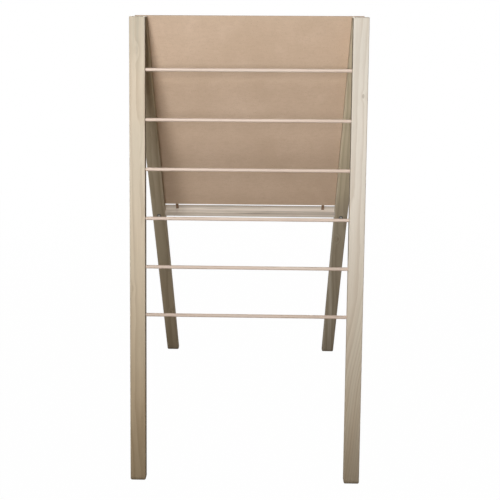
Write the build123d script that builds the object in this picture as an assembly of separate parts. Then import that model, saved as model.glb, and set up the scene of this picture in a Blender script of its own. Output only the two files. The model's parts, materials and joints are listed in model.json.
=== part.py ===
"""Folding wooden clothes drying rack: a rung frame hinged to a panelled rear frame."""
import os
from math import cos, radians, sin

from build123d import *

# Frame stock and stance (mm, degrees)
outer_width = 610.0
leg_face = 41.0
leg_depth = 19.0
lean = 16.5
stand_height = 1163.0
edge_round = 3.0
foot_corner = 4.5
end_round = 1.5

# Hanging rungs
rung_count = 6
rung_radius = 4.5
first_rung = 131.0
rung_pitch = 127.0
rung_socket = 14.0
socket_relief = 0.5

# Back panel
panel_thickness = 5.0
panel_half_width = 297.0
panel_rise = 1.0
panel_bottom = 579.5
panel_round = 0.8

# Ledge between the rear legs
ledge_depth = leg_face
ledge_thickness = 16.0
ledge_centre = 604.0
ledge_housing = 6.0
ledge_shoulder = 3.0
ledge_round = 1.5

# Pegs between ledge and panel
peg_width = 8.0
peg_x = 228.0
peg_seat = 4.0

# Hinges
face_gap = 2.0
leaf_thickness = 1.6
leaf_width = 30.0
leaf_length = 30.0
leaf_round = 3.0
knuckle_radius = 3.2
knuckle_gap = 0.3
knuckle_relief = 0.5
pin_radius = 1.5
pin_clearance = 0.05
stop_gap = 0.1

# Screws
hinge_screw_drop = 19.0
hinge_screw_spread = 8.5
hinge_screw_shank = 1.4
hinge_screw_head = 3.0
hinge_screw_length = 14.0
leg_screw_drop = 612.0
leg_screw_length = 13.0
leg_screw_shank = 2.0
leg_screw_head = 4.5
leg_screw_head_height = 2.5
leg_washer_radius = 6.5
leg_washer_thickness = 0.8
slot_width = 0.9
slot_depth = 0.8
panel_screw_drops = (35.0, 165.0, 295.0, 425.0, 555.0)
panel_screw_shank = 1.4
panel_screw_head = 3.4
panel_screw_head_height = 1.6
panel_screw_length = 15.0

# Derived positions
half_width = outer_width / 2
inner_half = half_width - leg_face
leg_centre_x = half_width - leg_face / 2
lean_sin = sin(radians(lean))
lean_cos = cos(radians(lean))
apex_height = stand_height - leg_depth * lean_sin
pin_height = apex_height - face_gap / lean_sin
front = -1
rear = 1


def spot(side, drop, out):
    """Y and Z of a place: `drop` down the leg from the apex, `out` from its inner face."""
    y = side * (drop * lean_sin + out * lean_cos)
    z = apex_height - drop * lean_cos + out * lean_sin
    return y, z


def place(side, x, drop, out):
    """Location on a leg whose local X is across, Z points outward and Y up the leg."""
    y, z = spot(side, drop, out)
    outward = Vector(0, side * lean_cos, lean_sin)
    return Location(Plane(origin=(x, y, z), x_dir=(-side, 0, 0), z_dir=outward))


def side_profile(points, x_from, x_to):
    """Solid with the given Y, Z outline between two X values."""
    outline = Polyline(*[(x_from, y, z) for y, z in points], close=True)
    return extrude(make_face(outline), amount=x_to - x_from, dir=(1, 0, 0))


def x_rod(radius, x_from, x_to, y, z):
    """Round rod along X."""
    spin = Rotation(0, 90, 0)
    middle = Pos((x_from + x_to) / 2, y, z)
    return middle * spin * Cylinder(radius, x_to - x_from)


def leg(side, x_sign):
    """Leg with level ends, rounded foot, eased edges and a bevelled stop face at the top."""
    inner_top = (stand_height - apex_height) / lean_cos
    foot_inner = apex_height / lean_cos
    foot_outer = (apex_height + leg_depth * lean_sin) / lean_cos
    points = [
        spot(side, -inner_top, 0),
        spot(side, 0, leg_depth),
        spot(side, foot_outer, leg_depth),
        spot(side, foot_inner, 0),
    ]
    x_low = x_sign * leg_centre_x - leg_face / 2
    body = side_profile(points, x_low, x_low + leg_face)
    foot = body.faces().sort_by(Axis.Z)[0]
    body = fillet(foot.edges().filter_by(Axis.Y), foot_corner)
    long_edges = body.edges().filter_by(lambda edge: edge.length > stand_height / 2)
    body = fillet(long_edges, edge_round)
    top = body.faces().sort_by(Axis.Z)[-1]
    body = chamfer(top.edges().filter_by(Axis.Y), end_round)
    stop = Box(2 * leg_face, leg_face, leg_face)
    stop_y = side * (stop_gap - leg_face / 2)
    body -= Pos(x_sign * leg_centre_x, stop_y, stand_height) * stop
    groove_half = leaf_width / 2 + knuckle_relief
    groove = x_rod(
        knuckle_radius + knuckle_relief,
        x_sign * leg_centre_x - groove_half,
        x_sign * leg_centre_x + groove_half,
        0,
        pin_height,
    )
    return body - groove


def countersunk_screw():
    """Flat-head screw with its head face at Z = 0 and the shank towards +Z."""
    head_depth = hinge_screw_head - hinge_screw_shank
    outline = Polyline(
        (0, 0),
        (hinge_screw_head, 0),
        (hinge_screw_shank, head_depth),
        (hinge_screw_shank, hinge_screw_length - hinge_screw_shank),
        (0, hinge_screw_length),
        close=True,
    )
    screw = revolve(Plane.XZ * make_face(outline), Axis.Z)
    slot = Box(2 * hinge_screw_head, slot_width, 2 * slot_depth)
    return screw - slot


def round_screw(head, head_height, shank, length):
    """Dome-head screw seated at Z = 0, head towards +Z and shank towards -Z."""
    sphere_radius = (head * head + head_height * head_height) / (2 * head_height)
    dome = Pos(0, 0, head_height - sphere_radius) * Sphere(sphere_radius)
    keep = Pos(0, 0, head_height) * Box(4 * head, 4 * head, 2 * head_height)
    slot = Pos(0, 0, head_height) * Box(4 * head, slot_width, 2 * slot_depth)
    shaft = Pos(0, 0, -length / 2) * Cylinder(shank, length)
    return (dome & keep) - slot + shaft


def hinge_leaf(side, x):
    """Hinge leaf with its knuckles rolled round the pin axis."""
    plate = Box(leaf_width, leaf_length, leaf_thickness)
    plate = fillet(plate.edges().filter_by(Axis.Z).group_by(Axis.Y)[0], leaf_round)
    plate_top = face_gap * lean_cos / lean_sin
    plate = place(side, x, plate_top + leaf_length / 2, -leaf_thickness / 2) * plate
    half_leaf = leaf_width / 2
    half_knuckle = leaf_width / 6
    inner = half_knuckle - knuckle_gap / 2
    outer = half_knuckle + knuckle_gap / 2
    clearance = knuckle_radius + knuckle_relief / 2
    past_leaf = half_leaf + knuckle_relief
    if side == rear:
        plate += x_rod(knuckle_radius, x - inner, x + inner, 0, pin_height)
        plate -= x_rod(clearance, x - past_leaf, x - inner, 0, pin_height)
        plate -= x_rod(clearance, x + inner, x + past_leaf, 0, pin_height)
    else:
        plate += x_rod(knuckle_radius, x - half_leaf, x - outer, 0, pin_height)
        plate += x_rod(knuckle_radius, x + outer, x + half_leaf, 0, pin_height)
        plate -= x_rod(clearance, x - outer, x + outer, 0, pin_height)
    bore = pin_radius + (pin_clearance if side == rear else 0)
    plate -= x_rod(bore, x - leaf_width, x + leaf_width, 0, pin_height)
    for screw in hinge_screws(side, x):
        plate -= screw
    return plate


def hinge_screws(side, x):
    """The pair of screws that holds one leaf."""
    screws = []
    for offset in (-hinge_screw_spread, hinge_screw_spread):
        seat = place(side, x + offset, hinge_screw_drop + face_gap / lean_sin, -leaf_thickness)
        screws.append(seat * countersunk_screw())
    return screws


def ledge_board():
    """Board square to the rear legs and flush in front, its ends housed behind a shoulder."""
    flush = Box(2 * inner_half, ledge_thickness, ledge_depth)
    tongue = Box(
        2 * (inner_half + ledge_housing), ledge_thickness, ledge_depth - ledge_shoulder
    )
    board = flush + Pos(0, 0, ledge_shoulder / 2) * tongue
    long_edges = board.edges().filter_by(lambda edge: edge.length > inner_half)
    return place(rear, 0, ledge_centre, ledge_depth / 2) * fillet(long_edges, ledge_round)


def write(name, shape):
    """Save one node."""
    shape.label = name
    export_step(shape, os.path.join("parts", name + ".step"))


def main():
    """Build and save every node."""
    os.makedirs("parts", exist_ok=True)
    sides = (("left", -1), ("right", 1))

    ledge = ledge_board()

    panel_top = -panel_rise / lean_cos - (stand_height - apex_height) / lean_cos
    panel_top += leg_depth * lean_sin / lean_cos
    panel_length = panel_bottom - panel_top
    panel = Box(2 * panel_half_width, panel_length, panel_thickness)
    panel = chamfer(panel.edges(), panel_round)
    panel_middle = (panel_top + panel_bottom) / 2
    panel_out = leg_depth + panel_thickness / 2
    panel = place(rear, 0, panel_middle, panel_out) * panel

    peg_bottom = ledge_centre - ledge_thickness / 2 + peg_seat
    pegs = {}
    for name, x_sign in sides:
        peg = Box(peg_width, peg_bottom - panel_bottom, panel_thickness)
        peg_middle = (peg_bottom + panel_bottom) / 2
        pegs[name] = place(rear, x_sign * peg_x, peg_middle, panel_out) * peg
        ledge -= pegs[name]

    panel_screws = []
    for drop in panel_screw_drops:
        for _, x_sign in sides:
            screw = round_screw(
                panel_screw_head, panel_screw_head_height, panel_screw_shank, panel_screw_length
            )
            seat = place(rear, x_sign * leg_centre_x, drop, leg_depth + panel_thickness)
            panel_screws.append(seat * screw)
    for screw in panel_screws:
        panel -= screw

    rungs = []
    for i in range(rung_count):
        rung_y, rung_z = spot(front, first_rung + i * rung_pitch, leg_depth / 2)
        reach = inner_half + rung_socket
        rungs.append(x_rod(rung_radius, -reach, reach, rung_y, rung_z))
        half_rung = reach - socket_relief
        write(f"rung_{i + 1}", x_rod(rung_radius, -half_rung, half_rung, rung_y, rung_z))

    front_screws = []
    rear_screws = []
    for name, x_sign in sides:
        x = x_sign * leg_centre_x
        post = leg(front, x_sign)
        for socket in rungs:
            post -= socket
        for screw in hinge_screws(front, x):
            post -= screw
            front_screws.append(screw)
        write(f"front_{name}_post", post)

        rear_leg = leg(rear, x_sign) - ledge
        for screw in hinge_screws(rear, x) + panel_screws:
            rear_leg -= screw
        rear_screws += hinge_screws(rear, x)

        washer = Cylinder(leg_washer_radius, leg_washer_thickness)
        washer -= Cylinder(leg_screw_shank, 2 * leg_washer_thickness)
        turn = Rotation(180, 0, 0)
        seat = place(rear, x, leg_screw_drop, -leg_washer_thickness / 2) * turn
        write(f"leg_washer_{name}", seat * washer)
        leg_screw = round_screw(
            leg_screw_head, leg_screw_head_height, leg_screw_shank, leg_screw_length
        )
        leg_screw = place(rear, x, leg_screw_drop, -leg_washer_thickness) * turn * leg_screw
        rear_leg -= leg_screw
        write(f"leg_screw_{name}", leg_screw)
        write(f"rear_{name}_leg", rear_leg)

        write(f"hinge_{name}_front_leaf", hinge_leaf(front, x))
        write(f"hinge_{name}_rear_leaf", hinge_leaf(rear, x))
        half_pin = leaf_width / 2
        write(f"hinge_{name}_pin", x_rod(pin_radius, x - half_pin, x + half_pin, 0, pin_height))
        write(f"panel_peg_{name}", pegs[name])

    write("back_panel", panel)
    write("ledge", ledge)
    write("panel_screws", Compound(children=panel_screws))
    write("hinge_front_screws", Compound(children=front_screws))
    write("hinge_rear_screws", Compound(children=rear_screws))


main()
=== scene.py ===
import json
import math

import bpy
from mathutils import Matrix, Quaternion, Vector


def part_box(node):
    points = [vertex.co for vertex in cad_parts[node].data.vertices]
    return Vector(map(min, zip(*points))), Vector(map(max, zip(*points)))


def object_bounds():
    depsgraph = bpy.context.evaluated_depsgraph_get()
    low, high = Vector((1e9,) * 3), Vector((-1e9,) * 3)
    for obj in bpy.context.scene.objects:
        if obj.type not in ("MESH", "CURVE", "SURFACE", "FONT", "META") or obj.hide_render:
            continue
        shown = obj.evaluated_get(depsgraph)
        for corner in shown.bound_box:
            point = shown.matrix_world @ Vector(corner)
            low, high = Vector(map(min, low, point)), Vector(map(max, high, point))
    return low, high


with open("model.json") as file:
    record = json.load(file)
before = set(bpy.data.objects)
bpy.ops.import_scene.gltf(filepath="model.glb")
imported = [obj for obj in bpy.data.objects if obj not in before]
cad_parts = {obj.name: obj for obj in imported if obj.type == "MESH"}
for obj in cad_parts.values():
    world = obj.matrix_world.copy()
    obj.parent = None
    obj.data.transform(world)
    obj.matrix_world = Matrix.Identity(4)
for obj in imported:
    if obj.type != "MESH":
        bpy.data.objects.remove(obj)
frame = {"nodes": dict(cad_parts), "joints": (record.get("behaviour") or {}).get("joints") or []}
cadLow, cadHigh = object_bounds()
nodes = frame["nodes"]
foldJoint = frame["joints"][0]
print("frame loaded:", len(nodes), "CAD nodes")


class Sock:
    # one output socket; the operators on it add Math nodes to the same tree
    def __init__(self, shade, socket):
        self.shade = shade
        self.socket = socket

    def math(self, operation, *values, clamp=False):
        settings = {"operation": operation, "use_clamp": clamp}
        return self.shade.node("Math", settings, dict(enumerate(values))).out()

    def __add__(self, other):
        return self.math("ADD", self, other)

    def __radd__(self, other):
        return self.math("ADD", other, self)

    def __sub__(self, other):
        return self.math("SUBTRACT", self, other)

    def __rsub__(self, other):
        return self.math("SUBTRACT", other, self)

    def __mul__(self, other):
        return self.math("MULTIPLY", self, other)

    def __rmul__(self, other):
        return self.math("MULTIPLY", other, self)

    def __truediv__(self, other):
        return self.math("DIVIDE", self, other)

    def __rtruediv__(self, other):
        return self.math("DIVIDE", other, self)

    def __neg__(self):
        return self.math("MULTIPLY", self, -1.0)

    def absolute(self):
        return self.math("ABSOLUTE", self)

    def root(self):
        return self.math("SQRT", self)

    def smaller(self, other):
        return self.math("MINIMUM", self, other)

    def wrapped(self):
        # what is left after whole numbers are taken off
        return self.math("FRACT", self)

    def limited(self):
        # kept from 0 to 1
        return self.math("ADD", self, 0.0, clamp=True)

    def step(self, low, high):
        # smooth 0 to 1 as the value goes from low to high
        return self.shade.node("MapRange", {"interpolation_type": "SMOOTHSTEP"},
                               {"Value": self, "From Min": low, "From Max": high}).out()


class Made:
    # one node that was just added
    def __init__(self, shade, node):
        self.shade = shade
        self.raw = node

    def out(self, which=0):
        return Sock(self.shade, self.raw.outputs[which])


class Shade:
    # one material's tree, or the world's, and the calls that grow it
    def __init__(self, owner):
        owner.use_nodes = True
        self.owner = owner
        self.tree = owner.node_tree
        self.tree.nodes.clear()
        self.place = None

    def node(self, kind, settings=None, sockets=None):
        # kind is the node type without its ShaderNode prefix; settings come before sockets
        made = self.tree.nodes.new("ShaderNode" + kind)
        for key, value in (settings or {}).items():
            setattr(made, key, value)
        for key, value in (sockets or {}).items():
            if isinstance(value, Sock):
                self.tree.links.new(value.socket, made.inputs[key])
            else:
                made.inputs[key].default_value = value
        return Made(self, made)

    def objectPlace(self):
        if self.place is None:
            self.place = self.node("TexCoord").out("Object")
        return self.place

    def dot(self, direction, centre=(0, 0, 0)):
        # distance of a point from centre, measured along a unit direction
        shifted = self.node("VectorMath", {"operation": "SUBTRACT"},
                            {0: self.objectPlace(), 1: tuple(centre)}).out()
        return self.node("VectorMath", {"operation": "DOT_PRODUCT"},
                         {0: shifted, 1: tuple(direction)}).out("Value")

    def noise(self, vector, scale=1.0, detail=3.0, rough=0.5, distortion=0.0):
        return self.node("TexNoise", {"noise_dimensions": "3D"},
                         {"Vector": vector, "Scale": scale, "Detail": detail,
                          "Roughness": rough, "Distortion": distortion}).out("Fac")

    def grain(self, places, scales, shifts=(0, 0, 0), **noiseFacts):
        # noise of three distances, each times its cycles per metre and moved by its shift
        x, y, z = [place * scale + shift if shift else place * scale
                   for place, scale, shift in zip(places, scales, shifts)]
        return self.noise(self.node("CombineXYZ", None, {0: x, 1: y, 2: z}).out(), **noiseFacts)

    def mix(self, amount, first, second, how="MIX"):
        first = first if isinstance(first, Sock) else (*first, 1)
        second = second if isinstance(second, Sock) else (*second, 1)
        return self.node("Mix", {"data_type": "RGBA", "blend_type": how},
                         {0: amount, 6: first, 7: second}).out(2)

    def tinted(self, colour, tint):
        return self.mix(1.0, colour, tint, "MULTIPLY")

    def finish(self, colour, rough, bump, strength=0.3, distance=0.001, metallic=0.0,
               specular=0.5):
        # bump is a height from 0 to 1, and distance is what 1 stands for, in metres
        normal = self.node("Bump", None, {"Height": bump, "Strength": strength,
                                          "Distance": distance}).out()
        surface = self.node("BsdfPrincipled", None,
                            {"Base Color": colour, "Roughness": rough, "Metallic": metallic,
                             "Specular IOR Level": specular, "Normal": normal}).out()
        self.node("OutputMaterial", None, {"Surface": surface})
        return self.owner


def newShade(name):
    return Shade(bpy.data.materials.new(name))


def dress(nodeName, material):
    # gives a CAD node its finished material
    for slot in nodes[nodeName].material_slots:
        slot.material = material


def middleOf(nodeName):
    # halfway between the lowest and the highest corner
    low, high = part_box(nodeName)
    return (Vector(low) + Vector(high)) / 2


lean = math.radians(foldJoint["range_deg"][1]) / 2      # each frame leans half of the fold
leanSin, leanCos = math.sin(lean), math.cos(lean)
postLow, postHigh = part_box("front_left_post")
outerHalf = cadHigh[0]
postFace = postHigh[0] - postLow[0]
legDepth = 0.019                                        # thickness of posts and legs
panelHalfThick = 0.0025
tieHeight = postHigh[2] - legDepth * leanSin            # where the two inner faces would meet
apex = Vector((0, 0, tieHeight))
legMiddleX = outerHalf - postFace / 2

# each frame: the way up its legs, and the way out of its outer face
frontUp, frontOut = Vector((0, leanSin, leanCos)), Vector((0, -leanCos, leanSin))
rearUp, rearOut = Vector((0, -leanSin, leanCos)), Vector((0, leanCos, leanSin))
acrossX = Vector((1, 0, 0))

# the ledge's box is that of a board turned by the lean: solve for the board's own half sizes
ledgeLow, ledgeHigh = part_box("ledge")
boxHalfY, boxHalfZ = (ledgeHigh[1] - ledgeLow[1]) / 2, (ledgeHigh[2] - ledgeLow[2]) / 2
ledgeHalfDeep = (boxHalfY * leanCos - boxHalfZ * leanSin) / math.cos(2 * lean)
ledgeHalfThick = (boxHalfZ * leanCos - boxHalfY * leanSin) / math.cos(2 * lean)

rungNames = ["rung_%d" % number for number in range(1, 7)]
rungCentres = [middleOf(name) for name in rungNames]
rungDrops = [(apex - centre).dot(frontUp) for centre in rungCentres]
rungRadius = (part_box("rung_1")[1][2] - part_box("rung_1")[0][2]) / 2

# lengths are metres down from the apex or in from an edge; scales are cycles per metre
# across the board, through it and along it
postLook = {
    "light": (0.68, 0.572, 0.44), "dark": (0.50, 0.395, 0.277),
    "lateAmount": 0.62, "streakAmount": 0.55, "fibreAmount": 0.45, "ringPitch": 0.0052,
    "grey": (0.58, 0.512, 0.398), "greyness": 0.40,
    "ageAndShade": (1.0, 0.94, 0.82), "ageAndShadeRange": (0.30, 1.25),
    "darkening": (0.36, 0.34, 0.27), "topGreyAndShadeRange": (0.02, 0.17),
    "poreTone": (0.20, 0.16, 0.11), "poreAmount": 0.22,
    "knotTone": (0.22, 0.14, 0.08),
    "worn": (0.80, 0.74, 0.62), "wornAmount": 0.30, "wornRange": (0.0040, 0.0008),
    # darkening near the floor: partly soiling, partly painted shade; the feet's end grain is
    # soiled
    "darkTone": (0.16, 0.13, 0.09), "grimeAndShade": 0.14, "grimeAndShadeHeight": 0.22, "endDirt": 0.55,
    # the colour of the inward face is painted shade
    "inner": (0.17, 0.14, 0.10),
    "socketDark": (0.22, 0.16, 0.10), "socketAmount": 0.55, "socketWidth": 0.0035,
    "shine": 0.35,
    "scales": {"slow": (9, 9, 1.7), "wander": (30, 30, 5), "fibre": (420, 420, 11),
               "streak": (110, 110, 2.2), "patch": (14, 14, 4.5), "pores": (1500, 1500, 60)},
}
rightPostLook = dict(
    postLook, light=(0.77, 0.70, 0.61), dark=(0.60, 0.51, 0.41), grey=(0.68, 0.63, 0.55),
    ageAndShade=(0.86, 0.79, 0.68), grimeAndShade=0.22)
# on the rear legs the dark top end, the plain darkening towards the foot and part of the
# darkening near the floor are painted shade
rearLegLook = dict(
    postLook, light=(0.53, 0.43, 0.30), dark=(0.37, 0.29, 0.19), grey=(0.45, 0.385, 0.275),
    ageAndShade=(0.72, 0.72, 0.72), ageAndShadeRange=(0.10, 0.72), grimeAndShade=0.12, darkening=(0.17, 0.14, 0.09))
rearRightLegLook = dict(
    rearLegLook, light=(0.54, 0.45, 0.31), dark=(0.37, 0.30, 0.20), grey=(0.46, 0.39, 0.28),
    ageAndShade=(0.64, 0.64, 0.67), ageAndShadeRange=(0.35, 0.75), grimeAndShade=0.25)

# pith is the rings' middle line, across and out; skew slides the rings sideways with height;
# a knot is its distance down, its place across and its radius
boards = {
    "front_left_post": {
        "look": postLook, "side": -1, "front": True, "seed": 3.1, "pith": (0.012, -0.050),
        "skew": 0.0, "skewRange": (0.5, 1.0), "topGreyAndShadeAmount": 0.52,
        "knotDark": 0.14, "knotBend": 0.0022,
        "knots": [(0.085, -0.002, 0.0070), (0.695, -0.014, 0.0055)]},
    "front_right_post": {
        "look": rightPostLook, "side": 1, "front": True, "seed": 11.7, "pith": (-0.016, -0.060),
        "skew": 0.11, "skewRange": (0.55, 0.95), "topGreyAndShadeAmount": 0.08,
        "knotDark": 0.50, "knotBend": 0.0030,
        "knots": [(0.196, 0.008, 0.0040)]},
    "rear_left_leg": {
        "look": rearLegLook, "side": -1, "front": False, "seed": 23.9, "pith": (-0.010, 0.055),
        "skew": 0.0, "skewRange": (0.5, 1.0), "topGreyAndShadeAmount": 0.7,
        "knotDark": 0.5, "knotBend": 0.008,
        "knots": [(1.02, 0.006, 0.0040)]},
    "rear_right_leg": {
        "look": rearRightLegLook, "side": 1, "front": False, "seed": 31.3, "pith": (0.014, 0.048),
        "skew": -0.05, "skewRange": (0.6, 1.0), "topGreyAndShadeAmount": 0.1,
        "knotDark": 0.5, "knotBend": 0.008,
        "knots": [(0.695, -0.004, 0.0045)]},
}


def boardMaterial(name, board):
    # growth rings are the fraction of the distance from a pith line beside the board,
    # bent by slow noise and by each knot; fibres are noise stretched along the grain
    look = board["look"]
    scales = look["scales"]
    seed = board["seed"]
    up, out = (frontUp, frontOut) if board["front"] else (rearUp, rearOut)
    middle = apex + acrossX * board["side"] * legMiddleX + out * legDepth / 2
    shade = newShade(name + "_wood")
    drop = -shade.dot(up, middle)
    straight = shade.dot(acrossX, middle)
    deep = shade.dot(out, middle)
    skewFrom, skewTo = board["skewRange"]
    across = straight + drop.step(skewFrom, skewTo) * (drop - skewFrom) * board["skew"]
    places = (across, deep, drop)

    slow = shade.grain(places, scales["slow"], (seed, 0, 0), detail=2)
    wander = shade.grain(places, scales["wander"], (0, seed, 0), detail=3)
    pithX, pithOut = board["pith"]
    sideways = across - pithX + (slow - 0.5) * 0.030
    inward = deep - pithOut + (wander - 0.5) * 0.006
    ringPlace = (sideways * sideways + inward * inward).root() + drop * 0.006

    # a knot is a blob longer than it is wide, and the rings bulge round it
    cores = []
    for knotDrop, knotAcross, knotSize in board["knots"]:
        long = (drop - knotDrop) * 0.55
        wide = across - knotAcross
        away = (long * long + wide * wide).root()
        bend = 1 - (away / (knotSize * 3.2)).step(0.0, 1.0)
        ringPlace = ringPlace + bend * board["knotBend"]
        ragged = away + (wander - 0.5) * knotSize * 0.6
        cores.append(1 - ragged.step(knotSize * 0.55, knotSize))
    knotCore = sum(cores[1:], cores[0]).limited()

    ring = (ringPlace / look["ringPitch"]).wrapped()
    late = ring.step(0.35, 0.92) * (1 - ring.step(0.93, 1.0))
    fibre = shade.grain(places, scales["fibre"], (0, seed, 0), detail=4, rough=0.65)
    streak = shade.grain(places, scales["streak"], (seed, 0, 0), detail=3)
    patch = shade.grain(places, scales["patch"], (0, seed, 0), detail=4)
    pores = shade.grain(places, scales["pores"], detail=2)

    # rings, streaks and fibres, then weathered patches, the top end (grey on the posts, painted
    # shadow on the rear legs), pores and knots
    tone = (late * look["lateAmount"] + (streak - 0.35) * look["streakAmount"]
            + (fibre - 0.5) * look["fibreAmount"]).limited()
    colour = shade.mix(tone, look["light"], look["dark"])
    weather = (patch.step(0.38, 0.72) * look["greyness"]).limited()
    colour = shade.mix(weather, colour, look["grey"])
    # the top end is greyed on the posts and darkened on the rear legs as painted shadow
    topEnd = 1 - drop.step(*look["topGreyAndShadeRange"])
    topGreyAndShade = topEnd * (streak.step(0.46, 0.60) * 0.6 + 0.4) * board["topGreyAndShadeAmount"]
    colour = shade.mix(topGreyAndShade, colour, look["darkening"])
    colour = shade.mix(pores.step(0.62, 0.75) * look["poreAmount"], colour, look["poreTone"])
    knotRing = (ringPlace / (look["ringPitch"] * 0.45)).wrapped() * 0.35 + 0.6
    knotStain = (knotCore * knotRing * board["knotDark"]).limited()
    colour = shade.mix(knotStain, colour, look["knotTone"])

    # yellowed towards the foot on the posts and plainly darkened there on the rear legs as
    # painted shade, worn corners, and darkening that rises from the floor: partly soiling, partly
    # painted shade
    colour = shade.mix(drop.step(*look["ageAndShadeRange"]), colour, shade.tinted(colour, look["ageAndShade"]))
    halfFace, halfDepth = postFace / 2, legDepth / 2
    wornIn, wornOut = look["wornRange"]
    corner = (across.absolute().step(halfFace - wornIn, halfFace - wornOut)
              * deep.absolute().step(halfDepth - wornIn, halfDepth - wornOut))
    colour = shade.mix(corner * streak.step(0.35, 0.6) * look["wornAmount"], colour, look["worn"])
    # darker near the floor: partly soiling, partly painted shade
    height = shade.dot(Vector((0, 0, 1)))
    ragged = height + (patch - 0.5) * 0.10
    grimeAndShade = (1 - ragged.step(0.0, look["grimeAndShadeHeight"])) * look["grimeAndShade"]
    endDirt = (1 - (height - (fibre - 0.5) * 0.010).step(0.001, 0.012)) * look["endDirt"]
    colour = shade.mix((grimeAndShade + endDirt).limited(), colour, look["darkTone"])

    # painted shade on the inward face, with a faint darker ring round each rung where it enters
    # the post
    if board["front"]:
        nearest = (drop - rungDrops[0]).absolute()
        for rungDrop in rungDrops[1:]:
            nearest = nearest.smaller((drop - rungDrop).absolute())
        rungAway = (nearest * nearest + deep * deep).root()
        inside = (across * -board["side"]).step(halfFace - 0.0010, halfFace - 0.0002)
        # inward face darkened: painted shade
        colour = shade.mix(inside * (patch * 0.3 + 0.6), colour, look["inner"])
        # a darker ring round each rung on the inward face
        darkening = (1 - rungAway.step(rungRadius, rungRadius + look["socketWidth"])) * inside
        colour = shade.mix(darkening * look["socketAmount"], colour, look["socketDark"])

    rough = 0.66 + (streak - 0.5) * 0.22 + late * -0.08 + (pores - 0.5) * 0.10
    bump = late * 0.35 + fibre * 0.55 + pores * 0.25
    return shade.finish(colour, rough, bump, strength=0.45, distance=0.0006,
                        specular=look["shine"])


for boardName, board in boards.items():
    dress(boardName, boardMaterial(boardName, board))
print("posts and legs dressed")

# scales are cycles per metre along the rung and twice across it
rungLook = {
    "light": (0.78, 0.63, 0.53), "dark": (0.60, 0.45, 0.36), "pale": (0.83, 0.73, 0.64),
    "fleck": (0.42, 0.28, 0.19), "fleckAmount": 0.35, "shine": 0.4,
    "scales": {"grain": (6, 260, 260), "band": (2.2, 80, 80), "fleck": (160, 900, 900)},
}


def rungMaterial(index):
    # straight fine grain along X, each rung cut from another place in the noise
    scales = rungLook["scales"]
    seed = 5.3 * (index + 1)
    shade = newShade("rung%dDowel" % (index + 1))
    along = shade.dot(acrossX)
    deep = shade.dot(frontOut, rungCentres[index])
    high = shade.dot(frontUp, rungCentres[index])
    places = (along, deep, high)
    grain = shade.grain(places, scales["grain"], (0, seed, 0), detail=4)
    band = shade.grain(places, scales["band"], (seed, 0, 0), detail=2)
    fleck = shade.grain(places, scales["fleck"], (0, seed, 0), detail=2)
    tone = (grain - 0.35 + (band - 0.5) * 0.5).limited()
    colour = shade.mix(tone, rungLook["light"], rungLook["dark"])
    colour = shade.mix(band.step(0.5, 0.75) * 0.5, colour, rungLook["pale"])
    flecked = fleck.step(0.66, 0.74) * rungLook["fleckAmount"]
    colour = shade.mix(flecked, colour, rungLook["fleck"])
    rough = 0.52 + (grain - 0.5) * 0.25 + (fleck - 0.5) * 0.1
    return shade.finish(colour, rough, grain * 0.6 + fleck * 0.4, strength=0.3,
                        distance=0.0003, specular=rungLook["shine"])


for index, rungName in enumerate(rungNames):
    dress(rungName, rungMaterial(index))
print("rungs dressed")

# scales are cycles per metre across the rack, up the panel and through it
panelLook = {
    "tan": (0.655, 0.49, 0.36), "brown": (0.59, 0.435, 0.31), "pale": (0.71, 0.54, 0.41),
    "darkFibre": (0.30, 0.19, 0.12), "paleFibre": (0.72, 0.56, 0.42), "fibreAmount": 0.20,
    "speck": (0.22, 0.14, 0.09), "speckAmount": 0.40,
    "lay": (0.53, 0.385, 0.275), "layAmount": 0.38,
    # the tint for the panel's lower part is painted shade
    "low": (0.84, 0.83, 0.83), "lowShadeRange": (-0.62, 0.05),
    "print": (0.25, 0.16, 0.10), "printAmount": 0.28, "printPitch": 0.0021, "shine": 0.3,
    "scales": {"cloud": (5, 5, 5), "smudge": (17, 13, 15), "darkFibre": (900, 160, 700),
               "paleFibre": (170, 850, 700), "speck": (480, 480, 480), "lay": (60, 170, 150)},
}


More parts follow.
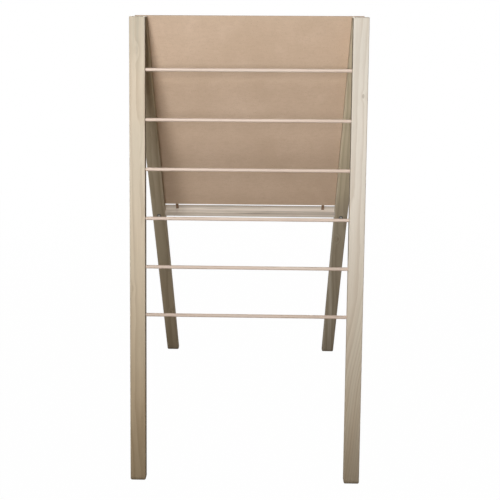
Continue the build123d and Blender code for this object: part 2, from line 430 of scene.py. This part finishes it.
def panelMaterial():
    # pressed fibre board: soft cloudy tones, short crossing fibres, and a woven wire print
    # behind, which is the distance from the middle of each square of a grid
    scales = panelLook["scales"]
    shade = newShade("fibreBoard")
    middle = apex + rearOut * (legDepth + panelHalfThick)
    across = shade.dot(acrossX)
    up = shade.dot(rearUp, middle)
    deep = shade.dot(rearOut, middle)
    places = (across, up, deep)
    cloud = shade.grain(places, scales["cloud"], detail=4, rough=0.55)
    smudge = shade.grain(places, scales["smudge"], (4, 0, 0), detail=3)
    darkFibre = shade.grain(places, scales["darkFibre"], detail=3, distortion=1.2)
    paleFibre = shade.grain(places, scales["paleFibre"], detail=3, distortion=1.2)
    speck = shade.grain(places, scales["speck"], detail=1)
    lay = shade.grain(places, scales["lay"], detail=5, rough=0.7)

    colour = shade.mix(cloud.step(0.30, 0.72), panelLook["tan"], panelLook["brown"])
    colour = shade.mix(smudge.step(0.52, 0.80) * 0.45, colour, panelLook["pale"])
    darkened = darkFibre.step(0.55, 0.72) * panelLook["fibreAmount"]
    colour = shade.mix(darkened, colour, panelLook["darkFibre"])
    lightened = paleFibre.step(0.56, 0.74) * panelLook["fibreAmount"]
    colour = shade.mix(lightened, colour, panelLook["paleFibre"])
    specked = speck.step(0.68, 0.74) * panelLook["speckAmount"]
    colour = shade.mix(specked, colour, panelLook["speck"])
    laid = (lay.step(0.40, 0.70) * panelLook["layAmount"]).limited()
    colour = shade.mix(laid, colour, panelLook["lay"])
    # darker towards the bottom of the panel: painted shade
    lowShadeFade = up.step(*panelLook["lowShadeRange"])
    colour = shade.mix(lowShadeFade, shade.tinted(colour, panelLook["low"]), colour)

    behind = deep.step(panelHalfThick - 0.0007, panelHalfThick - 0.0001)
    printX = (across / panelLook["printPitch"]).wrapped() - 0.5
    printUp = (up / panelLook["printPitch"]).wrapped() - 0.5
    weave = (printX * printX + printUp * printUp).root().step(0.15, 0.55) * behind
    colour = shade.mix(weave * panelLook["printAmount"], colour, panelLook["print"])
    rough = 0.72 + (cloud - 0.5) * 0.15 + (darkFibre - 0.5) * 0.12
    bump = darkFibre * 0.3 + paleFibre * 0.3 + speck * 0.2 - weave * 1.2
    return shade.finish(colour, rough, bump, strength=0.35, distance=0.0004,
                        specular=panelLook["shine"])


dress("back_panel", panelMaterial())

pegLook = {
    "light": (0.30, 0.20, 0.13), "dark": (0.15, 0.095, 0.06),
    "scuff": (0.40, 0.30, 0.22), "scuffAmount": 0.4, "shine": 0.3,
    "scales": {"grain": (900, 90, 900), "scuff": (240, 240, 240)},
}


def pegMaterial():
    # dark stained stub: grain stretched up the leg, and scuffs from a second noise
    scales = pegLook["scales"]
    shade = newShade("darkPeg")
    places = (shade.dot(acrossX), shade.dot(rearUp, apex), shade.dot(rearOut, apex))
    grain = shade.grain(places, scales["grain"], detail=4)
    scuff = shade.grain(places, scales["scuff"], detail=3)
    colour = shade.mix(grain.step(0.35, 0.65), pegLook["light"], pegLook["dark"])
    colour = shade.mix(scuff.step(0.55, 0.75) * pegLook["scuffAmount"], colour, pegLook["scuff"])
    rough = 0.62 + (grain - 0.5) * 0.3
    return shade.finish(colour, rough, grain * 0.7 + scuff * 0.3, strength=0.4,
                        distance=0.0003, specular=pegLook["shine"])


pegSkin = pegMaterial()
for side in ("left", "right"):
    dress("panel_peg_%s" % side, pegSkin)
print("panel and pegs dressed")

# scales are cycles per metre along the ledge, through the rear frame and up it
ledgeLook = {
    "light": (0.78, 0.68, 0.58), "dark": (0.44, 0.38, 0.32), "brown": (0.60, 0.49, 0.40),
    # the pale colours for the top face are painted light; the dark colour below darkens the rear
    # edge
    "litTopPale": (0.90, 0.81, 0.71), "litTopBand": (0.44, 0.38, 0.32), "litTopRange": (0.0022, 0.0008),
    "darkTone": (0.13, 0.11, 0.09), "rearEdgeDarkAmount": 0.7, "rearEdgeDarkRange": (0.0050, 0.0010),
    "crack": (0.10, 0.085, 0.07), "crackAmount": 0.8, "shine": 0.25,
    "scales": {"wave": (3, 20, 20), "band": (1.2, 150, 190), "fibre": (14, 600, 600),
               "patch": (9, 30, 30), "crack": (5, 330, 330)},
}


def ledgeMaterial():
    # grey board with long dry cracks and bands running across the rack, bent by a slow wave,
    # lighter on its top face as painted light, and darker along its rear edge
    scales = ledgeLook["scales"]
    shade = newShade("greyLedge")
    along = shade.dot(acrossX)
    deep = shade.dot(rearOut, middleOf("ledge"))
    high = shade.dot(rearUp, middleOf("ledge"))
    places = (along, deep, high)
    wave = shade.grain(places, scales["wave"], detail=2)
    band = shade.grain(places, scales["band"], (0, wave, 0), detail=3)
    fibre = shade.grain(places, scales["fibre"], detail=4)
    patch = shade.grain(places, scales["patch"], detail=3)
    crack = shade.grain(places, scales["crack"], (7, wave * 2, 0), detail=1)

    tone = ((band - 0.35) * 2.2 + (fibre - 0.5) * 0.5).limited()
    colour = shade.mix(tone, ledgeLook["light"], ledgeLook["dark"])
    colour = shade.mix(patch.step(0.5, 0.75) * 0.4, colour, ledgeLook["brown"])
    # a lighter copy of the bands on the top face: painted light
    paintedLitTop = shade.mix(tone, ledgeLook["litTopPale"], ledgeLook["litTopBand"])
    topFrom, topTo = ledgeLook["litTopRange"]
    litTopMask = high.step(ledgeHalfThick - topFrom, ledgeHalfThick - topTo)
    colour = shade.mix(litTopMask, colour, paintedLitTop)
    # darker along the rear edge
    rearDarkFrom, rearDarkTo = ledgeLook["rearEdgeDarkRange"]
    rearEdge = deep.step(ledgeHalfDeep - rearDarkFrom, ledgeHalfDeep - rearDarkTo)
    colour = shade.mix(rearEdge * ledgeLook["rearEdgeDarkAmount"], colour, ledgeLook["darkTone"])
    split = crack.step(0.66, 0.76)
    colour = shade.mix(split * ledgeLook["crackAmount"], colour, ledgeLook["crack"])
    rough = 0.78 + (fibre - 0.5) * 0.2
    return shade.finish(colour, rough, band * 0.4 + fibre * 0.5 - split * 1.5, strength=0.55,
                        distance=0.0008, specular=ledgeLook["shine"])


dress("ledge", ledgeMaterial())
print("ledge dressed")

# rust is how much of a piece has rusted, and light is how bright its plate is
steelLook = {
    "bright": (0.66, 0.66, 0.65), "dull": (0.40, 0.39, 0.38), "rustTone": (0.26, 0.13, 0.07),
    "cloudScale": 260, "scratchScale": 2600, "rustScale": 430,
    "finishes": {"zincPlate": {"rust": 0.35, "light": 1.0},
                 "screwSteel": {"rust": 0.6, "light": 1.0},
                 "washerSteel": {"rust": 0.8, "light": 0.22}},
}


def steelMaterial(name):
    # zinc plate: fine scratches, cloudy dulling and a little rust, from one noise each
    finish = steelLook["finishes"][name]
    shade = newShade(name)
    place = shade.objectPlace()
    cloud = shade.noise(place, scale=steelLook["cloudScale"], detail=3)
    scratch = shade.noise(place, scale=steelLook["scratchScale"], detail=2)
    rustCloud = shade.noise(place, scale=steelLook["rustScale"], detail=4)
    rusty = rustCloud.step(0.60, 0.72) * finish["rust"]
    bright, dull = [tuple(part * finish["light"] for part in steelLook[key])
                    for key in ("bright", "dull")]
    colour = shade.mix(cloud.step(0.3, 0.7), bright, dull)
    colour = shade.mix(rusty, colour, steelLook["rustTone"])
    rough = 0.30 + cloud * 0.22 + scratch * 0.10 + rusty * 0.35
    return shade.finish(colour, rough, scratch * 0.5 + rusty, strength=0.25, distance=0.0002,
                        metallic=1 - rusty * 0.9)


plainSteel = steelMaterial("zincPlate")
screwSteel = steelMaterial("screwSteel")
darkSteel = steelMaterial("washerSteel")
for side in ("left", "right"):
    dress("hinge_%s_front_leaf" % side, plainSteel)
    dress("hinge_%s_rear_leaf" % side, plainSteel)
    dress("hinge_%s_pin" % side, plainSteel)
    dress("leg_washer_%s" % side, darkSteel)
    dress("leg_screw_%s" % side, screwSteel)
for nodeName in ("hinge_front_screws", "hinge_rear_screws", "panel_screws"):
    dress(nodeName, screwSteel)
print("metal dressed")

studio = {
    "floorHalf": 60.0, "floorTone": (0.30, 0.28, 0.25),
    "glow": 0.993, "clearFrom": 1.0, "clearTo": 3.0,
    "fill": 0.075, "fillTint": (1.0, 0.87, 0.70),
    "lamps": {
        "key": {"kind": "SPOT", "power": 170.0, "soft": 0.46, "cone": 68.0,
                "tint": (0.97, 1.0, 1.03), "from": (-0.58, -2.70, 1.38), "to": (0.06, 0.0, 1.36)},
        "front": {"kind": "AREA", "power": 6.0, "soft": 1.6,
                  "tint": (1.0, 0.80, 0.55), "from": (0.1, -2.6, 1.0), "to": (0.0, 0.0, 0.55)},
        "over": {"kind": "SPOT", "power": 130.0, "soft": 0.5, "cone": 60.0,
                 "tint": (0.97, 1.0, 1.03), "from": (-0.35, -2.30, 2.35), "to": (0.0, 0.0, 1.10)},
        "behind": {"kind": "AREA", "power": 70.0, "soft": 1.4,
                   "tint": (1.0, 0.97, 0.93), "from": (-0.3, 3.4, 2.0), "to": (0.0, 0.1, 0.7)},
        "left": {"kind": "AREA", "power": 34.0, "soft": 1.0,
                 "tint": (1.0, 0.97, 0.93), "from": (-3.0, 1.6, 1.4), "to": (0.0, 0.0, 0.6)},
        "right": {"kind": "AREA", "power": 42.0, "soft": 1.0,
                  "tint": (1.0, 0.97, 0.93), "from": (2.8, 2.2, 1.4), "to": (0.0, 0.0, 0.6)},
    },
}


def makeFloor():
    # one flat square; its glow rises to plain white away from the rack
    half = studio["floorHalf"]
    mesh = bpy.data.meshes.new("floor")
    mesh.from_pydata([(-half, -half, 0), (half, -half, 0), (half, half, 0), (-half, half, 0)],
                     [], [(0, 1, 2, 3)])
    floor = bpy.data.objects.new("floor", mesh)
    bpy.context.scene.collection.objects.link(floor)
    shade = newShade("paleFloor")
    lit = shade.node("BsdfDiffuse", None, {"Color": (*studio["floorTone"], 1)}).out()
    glow = shade.node("Emission", None, {"Color": (1, 1, 1, 1), "Strength": 1.0}).out()
    seen = shade.node("LightPath").out("Is Camera Ray")
    length = shade.node("VectorMath", {"operation": "LENGTH"}, {0: shade.objectPlace()})
    far = length.out("Value").step(studio["clearFrom"], studio["clearTo"])
    amount = seen * (far * (1 - studio["glow"]) + studio["glow"])
    both = shade.node("MixShader", None, {0: amount, 1: lit, 2: glow}).out()
    shade.node("OutputMaterial", None, {"Surface": both})
    mesh.materials.append(shade.owner)


def makeWorld():
    # white where the camera looks past the floor, and a weak warm fill for the object
    world = bpy.data.worlds.new("studioAir")
    bpy.context.scene.world = world
    shade = Shade(world)
    seen = shade.node("LightPath").out("Is Camera Ray")
    fill = shade.node("Background", None, {"Color": (*studio["fillTint"], 1),
                                           "Strength": studio["fill"]}).out()
    white = shade.node("Background", None, {"Color": (1, 1, 1, 1), "Strength": 1.0}).out()
    both = shade.node("MixShader", None, {0: seen, 1: fill, 2: white}).out()
    shade.node("OutputWorld", None, {"Surface": both})


def makeLamp(name, facts):
    # a soft lamp that stands at "from", aims at "to" and isn't itself in view
    light = bpy.data.lights.new(name, facts["kind"])
    light.energy = facts["power"]
    light.color = facts["tint"]
    if facts["kind"] == "SPOT":
        light.shadow_soft_size = facts["soft"]
        light.spot_size = math.radians(facts["cone"])
        light.spot_blend = 1.0
    else:
        light.shape = "DISK"
        light.size = facts["soft"]
    lamp = bpy.data.objects.new(name, light)
    lamp.visible_camera = False
    bpy.context.scene.collection.objects.link(lamp)
    lamp.location = facts["from"]
    aim = Vector(facts["to"]) - Vector(facts["from"])
    lamp.rotation_euler = aim.to_track_quat("-Z", "Y").to_euler()


# metres above the apex, to its right and in front of it; angles in degrees, lens in mm
eye = {"height": 0.0345, "right": 0.0408, "back": 1.7562, "pitch": 20.78, "turn": 1.17,
       "roll": 0.256, "lens": 46.593, "sensor": 36}


def makeCamera():
    # turned to the left, then tipped down, then rolled about its own line of sight
    data = bpy.data.cameras.new("camera")
    data.lens = eye["lens"]
    data.sensor_width = eye["sensor"]
    data.clip_start = 0.01
    camera = bpy.data.objects.new("camera", data)
    bpy.context.scene.collection.objects.link(camera)
    camera.location = (eye["right"], -eye["back"], tieHeight + eye["height"])
    camera.rotation_mode = "QUATERNION"
    turn, pitch, roll = [math.radians(eye[key]) for key in ("turn", "pitch", "roll")]
    level = Vector((-math.sin(turn), math.cos(turn), 0))
    ahead = level * math.cos(pitch) - Vector((0, 0, math.sin(pitch)))
    facing = ahead.to_track_quat("-Z", "Y")
    camera.rotation_quaternion = facing @ Quaternion((0, 0, 1), roll)
    bpy.context.scene.camera = camera


makeFloor()
makeWorld()
for lampName, lampFacts in studio["lamps"].items():
    makeLamp(lampName, lampFacts)
makeCamera()
bpy.context.scene.view_settings.view_transform = "Standard"
print("studio ready")
